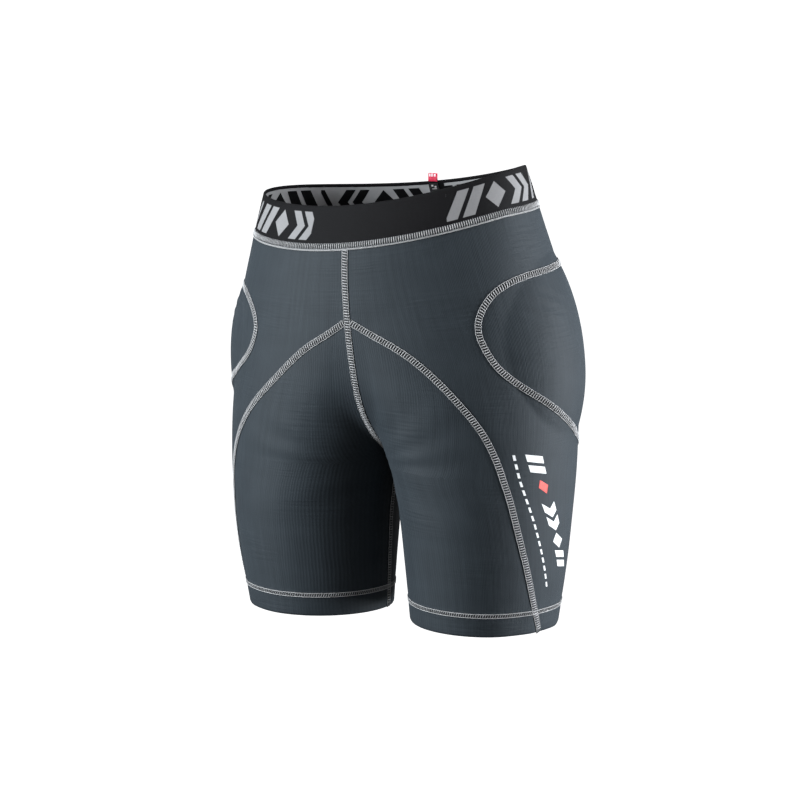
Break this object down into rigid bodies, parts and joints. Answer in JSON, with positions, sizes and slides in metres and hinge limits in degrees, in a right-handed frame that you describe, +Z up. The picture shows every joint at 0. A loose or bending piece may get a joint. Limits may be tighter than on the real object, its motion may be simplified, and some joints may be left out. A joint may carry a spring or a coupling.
{
  "type": "padded impact shorts",
  "caption": "Close-fitting mid-thigh shorts of compression knit with removable impact pads at both hips and the tailbone, a wide elastic waistband and flatlock seams.",
  "frame": {"origin": "middle of the waist opening, half way up the rise of its top edge", "axes": "+Z up along the body, -Y towards the wearer's front, +X to the wearer's left"},
  "size_m": [0.3753, 0.2321, 0.4524],
  "materials": {
    "compression_knit": "fine ribbed stretch knit with a soft sheen",
    "elastic": "dense woven elastic, ribbed",
    "seam_thread": "flatlock thread",
    "pocket_mesh": "open mesh",
    "pad_foam": "moulded closed-cell foam",
    "label": "woven label",
    "label_red": "woven label",
    "print_white": "heat-transfer film",
    "print_red": "heat-transfer film"
  },
  "bodies": {
    "shorts": {"waistband": "elastic", "front_panel_left": "compression_knit", "front_panel_right": "compression_knit", "thigh_panel_left": "compression_knit", "thigh_panel_right": "compression_knit", "hip_panel_left": "compression_knit", "hip_panel_right": "compression_knit", "back_panel_left": "compression_knit", "back_panel_right": "compression_knit", "tailbone_panel": "compression_knit", "hip_pocket_left": "pocket_mesh", "hip_pocket_right": "pocket_mesh", "tailbone_pocket": "pocket_mesh", "hip_pocket_binding_left": "elastic", "hip_pocket_binding_right": "elastic", "tailbone_pocket_binding": "elastic", "waist_seam": "seam_thread", "centre_front_seam": "seam_thread", "centre_back_seam": "seam_thread", "front_thigh_seam_left": "seam_thread", "front_thigh_seam_right": "seam_thread", "hip_seam_left": "seam_thread", "hip_seam_right": "seam_thread", "back_seam_left": "seam_thread", "back_seam_right": "seam_thread", "inseam_left": "seam_thread", "inseam_right": "seam_thread", "hem_seam_left": "seam_thread", "hem_seam_right": "seam_thread", "tailbone_seam": "seam_thread", "tag_base": "label", "thigh_print": "print_white", "thigh_print_accent": "print_red"},
    "hip_pad_left": {"hip_pad_left": "pad_foam"},
    "hip_pad_right": {"hip_pad_right": "pad_foam"},
    "tailbone_pad": {"tailbone_pad": "pad_foam"},
    "tag": {"tag_loop": "label_red"}
  },
  "joints": [
    {"name": "hip_pad_left_slide", "type": "slide", "parent": "shorts", "child": "hip_pad_left", "axis": [-0.5286, -0.0698, 0.846], "range_m": [0, 0.2], "deforming": ["hip_pocket_left", "hip_pocket_binding_left"]},
    {"name": "hip_pad_right_slide", "type": "slide", "parent": "shorts", "child": "hip_pad_right", "axis": [0.4988, -0.0698, 0.8639], "range_m": [0, 0.2], "deforming": ["hip_pocket_right", "hip_pocket_binding_right"]},
    {"name": "tailbone_pad_slide", "type": "slide", "parent": "shorts", "child": "tailbone_pad", "axis": [0, -0.4695, 0.8829], "range_m": [0, 0.18], "deforming": ["tailbone_pocket", "tailbone_pocket_binding"]},
    {"name": "tag_fold", "type": "hinge", "parent": "shorts", "child": "tag", "pos_m": [0, 0.0841, -0.0051], "axis": [1, 0, 0], "range_deg": [-15, 75], "stiffness_Nm_per_rad": 0.0005}
  ]
}
